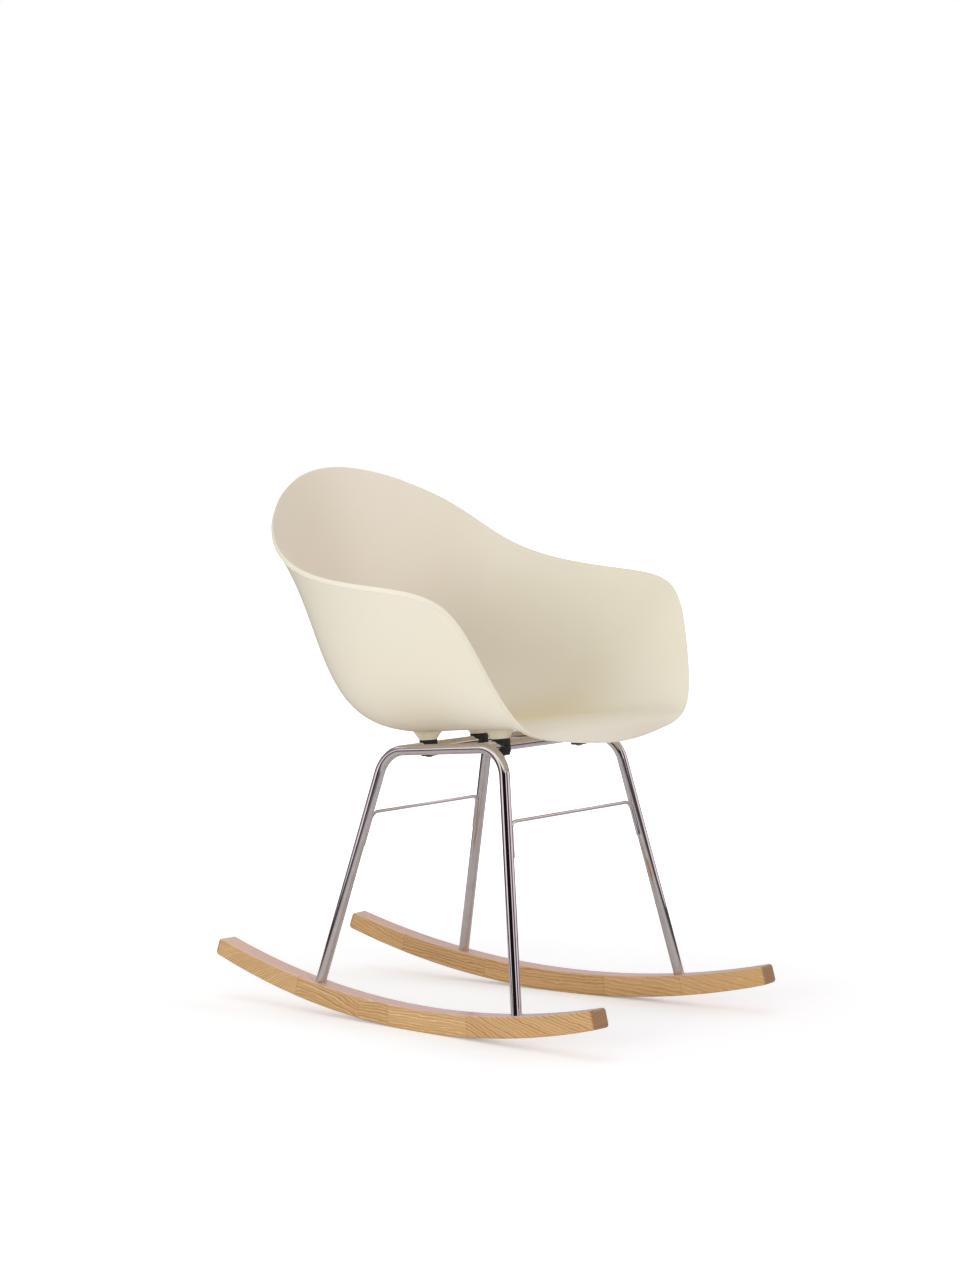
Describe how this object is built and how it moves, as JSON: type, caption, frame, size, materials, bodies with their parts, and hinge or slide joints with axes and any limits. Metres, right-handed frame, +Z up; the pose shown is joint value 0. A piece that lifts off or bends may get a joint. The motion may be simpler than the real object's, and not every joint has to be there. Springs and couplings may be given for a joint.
{
  "type": "moulded plastic rocking chair",
  "caption": "Rocking armchair with a one-piece moulded bucket shell on a chromed bent-tube base, standing on curved wooden runners",
  "frame": {"origin": "On the floor, at the middle of the chair's bounding box from side to side and from front to back", "axes": "X runs across the chair to the sitter's left, Y from the front to the back of the chair, Z up from the floor; the chair is in the level pose of the picture, resting on the lowest line of both runners"},
  "size_m": [0.6234, 0.7192, 0.7759],
  "materials": {
    "cream_shell": "satin moulded polypropylene, cream",
    "chromed_tube": "polished chrome plate",
    "chromed_rod": "polished chrome plate on wire rod",
    "runner_wood": "clear-lacquered light hardwood",
    "black_mount": "matt black moulding",
    "plated_fastener": "zinc-plated steel",
    "insert_brass": "bare brass"
  },
  "bodies": {
    "root": {"seat_shell": "cream_shell", "left_side_frame": "chromed_tube", "right_side_frame": "chromed_tube", "front_cross_tube": "chromed_tube", "rear_cross_tube": "chromed_tube", "front_stretcher_rod": "chromed_rod", "rear_stretcher_rod": "chromed_rod", "left_runner": "runner_wood", "right_runner": "runner_wood", "front_left_boss_insert": "insert_brass", "front_left_mount_block": "black_mount", "front_left_lower_saddle": "black_mount", "front_left_seat_bolt": "plated_fastener", "front_left_leg_plug": "plated_fastener", "front_left_runner_screw": "plated_fastener", "front_right_boss_insert": "insert_brass", "front_right_mount_block": "black_mount", "front_right_lower_saddle": "black_mount", "front_right_seat_bolt": "plated_fastener", "front_right_leg_plug": "plated_fastener", "front_right_runner_screw": "plated_fastener", "rear_left_boss_insert": "insert_brass", "rear_left_mount_block": "black_mount", "rear_left_lower_saddle": "black_mount", "rear_left_seat_bolt": "plated_fastener", "rear_left_leg_plug": "plated_fastener", "rear_left_runner_screw": "plated_fastener", "rear_right_boss_insert": "insert_brass", "rear_right_mount_block": "black_mount", "rear_right_lower_saddle": "black_mount", "rear_right_seat_bolt": "plated_fastener", "rear_right_leg_plug": "plated_fastener", "rear_right_runner_screw": "plated_fastener"}
  },
  "joints": []
}
